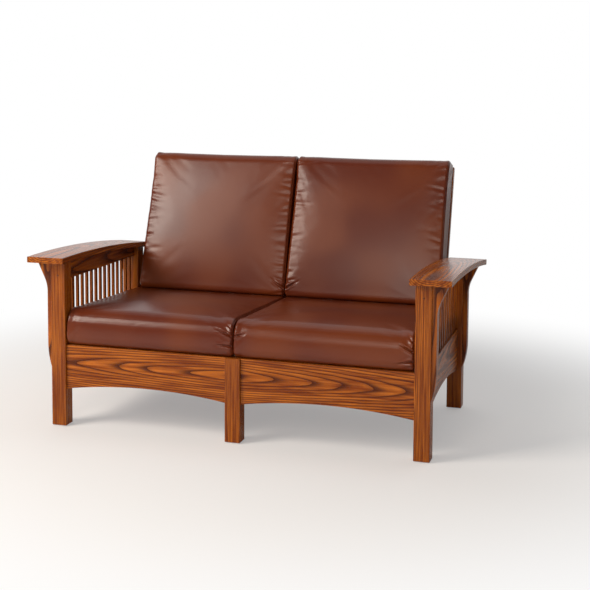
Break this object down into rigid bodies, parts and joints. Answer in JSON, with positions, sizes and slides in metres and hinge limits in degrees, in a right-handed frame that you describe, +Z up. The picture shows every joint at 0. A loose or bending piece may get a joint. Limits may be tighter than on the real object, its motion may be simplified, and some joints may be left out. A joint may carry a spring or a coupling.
{
  "type": "mission_loveseat",
  "caption": "Mission loveseat in stained oak with bowed arms on corbels, slatted sides, arched front aprons and loose brown leather seat and back cushions.",
  "frame": {"origin": "on the floor, at the centre of the bounding box's footprint", "axes": "+X to the loveseat's left-to-right as seen from the front, +Y from front to back, +Z up"},
  "size_m": [1.568, 0.9976, 0.9657],
  "materials": {
    "oak_stained": "semi-gloss",
    "oak_hidden": "matte",
    "leather_brown": "semi-gloss",
    "steel_zinc": "satin",
    "nylon_black": "matte"
  },
  "bodies": {
    "frame": {"front_post_left": "oak_stained", "front_post_right": "oak_stained", "rear_post_left": "oak_stained", "rear_post_right": "oak_stained", "centre_leg_front": "oak_stained", "centre_leg_rear": "oak_stained", "arm_left": "oak_stained", "arm_right": "oak_stained", "corbel_front_left": "oak_stained", "corbel_front_right": "oak_stained", "corbel_rear_left": "oak_stained", "corbel_rear_right": "oak_stained", "upper_side_rail_left": "oak_stained", "upper_side_rail_right": "oak_stained", "lower_side_rail_left": "oak_stained", "lower_side_rail_right": "oak_stained", "side_slats_left": "oak_stained", "side_slats_right": "oak_stained", "apron_left": "oak_stained", "apron_right": "oak_stained", "rear_rail_left": "oak_stained", "rear_rail_right": "oak_stained", "centre_stretcher": "oak_stained", "front_cleat_left": "oak_hidden", "front_cleat_right": "oak_hidden", "rear_cleat_left": "oak_hidden", "rear_cleat_right": "oak_hidden", "seat_slats_left": "oak_hidden", "seat_slats_right": "oak_hidden", "corner_block_front_left": "oak_hidden", "corner_block_front_right": "oak_hidden", "corner_block_rear_left": "oak_hidden", "corner_block_rear_right": "oak_hidden", "back_stile_left": "oak_stained", "back_stile_right": "oak_stained", "back_muntin": "oak_stained", "back_top_rail": "oak_stained", "back_bottom_rail": "oak_stained", "back_slats_left": "oak_stained", "back_slats_right": "oak_stained", "back_bracket_left": "oak_hidden", "back_bracket_right": "oak_hidden", "back_bolts": "steel_zinc", "back_nuts": "steel_zinc", "bracket_screws": "steel_zinc", "back_dowels": "oak_stained", "screw_plugs": "oak_stained", "rail_screws": "steel_zinc", "glides": "nylon_black"},
    "seat_pad_left": {"seat_cushion_left": "leather_brown"},
    "back_pad_left": {"back_cushion_left": "leather_brown"},
    "seat_pad_right": {"seat_cushion_right": "leather_brown"},
    "back_pad_right": {"back_cushion_right": "leather_brown"}
  },
  "joints": [
    {"name": "seat_lift_left", "type": "slide", "parent": "frame", "child": "seat_pad_left", "axis": [0, -0.9986, 0.0523], "range_m": [0, 0.6]},
    {"name": "seat_lift_right", "type": "slide", "parent": "frame", "child": "seat_pad_right", "axis": [0, -0.9986, 0.0523], "range_m": [0, 0.6]},
    {"name": "back_lift_left", "type": "slide", "parent": "frame", "child": "back_pad_left", "axis": [0, 0.3256, 0.9455], "range_m": [0, 0.3]},
    {"name": "back_lift_right", "type": "slide", "parent": "frame", "child": "back_pad_right", "axis": [0, 0.3256, 0.9455], "range_m": [0, 0.3]}
  ]
}
